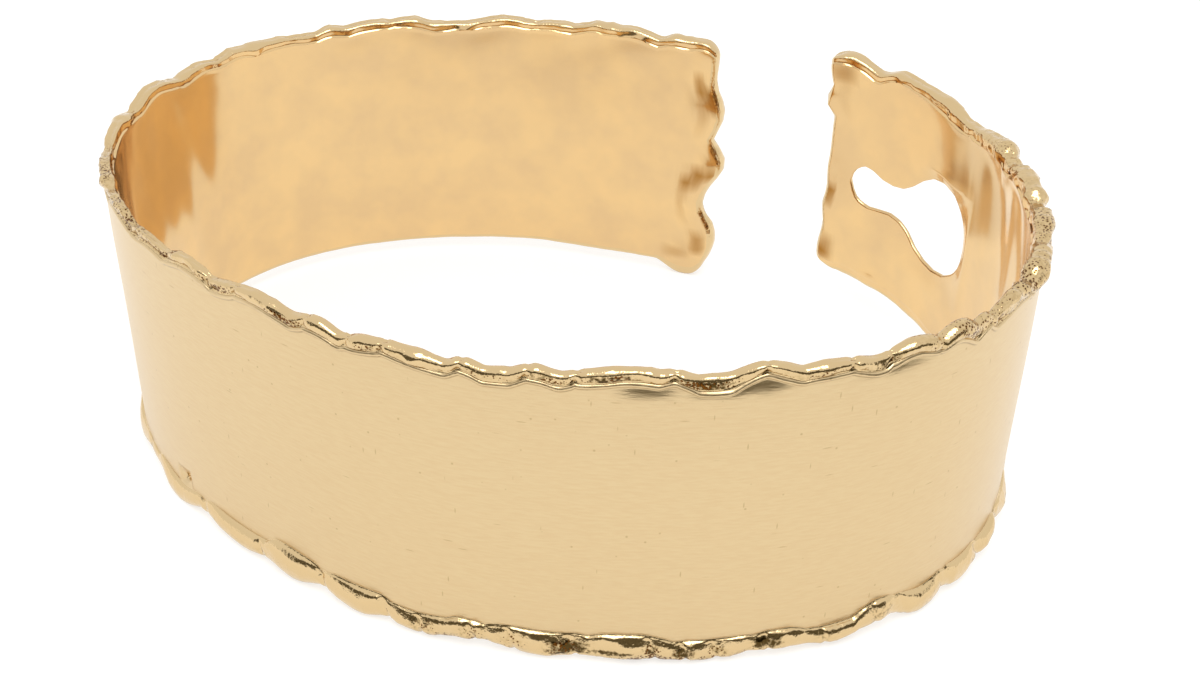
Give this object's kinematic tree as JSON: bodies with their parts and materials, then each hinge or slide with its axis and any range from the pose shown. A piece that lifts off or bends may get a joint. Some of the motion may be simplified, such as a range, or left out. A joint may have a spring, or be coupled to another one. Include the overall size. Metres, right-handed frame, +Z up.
{
  "type": "cuff bracelet",
  "caption": "Open oval cuff bracelet of heavy yellow gold sheet with lumpy melted rims and ends and a melted hole near one end; worn on the wrist, entered through the gap.",
  "frame": {"origin": "centre of the bounding box's footprint, on the surface that the cuff stands on", "axes": "+X along the longer way across the wrist, +Y from the closed front towards the gap, +Z up across the strip, from its lower to its upper rim"},
  "size_m": [0.0608, 0.0476, 0.0208],
  "materials": {
    "yellow_gold": "yellow gold: satin outside, polished inside, bright pitted melted rims"
  },
  "bodies": {
    "root": {"cuff_band": "yellow_gold"}
  },
  "joints": []
}
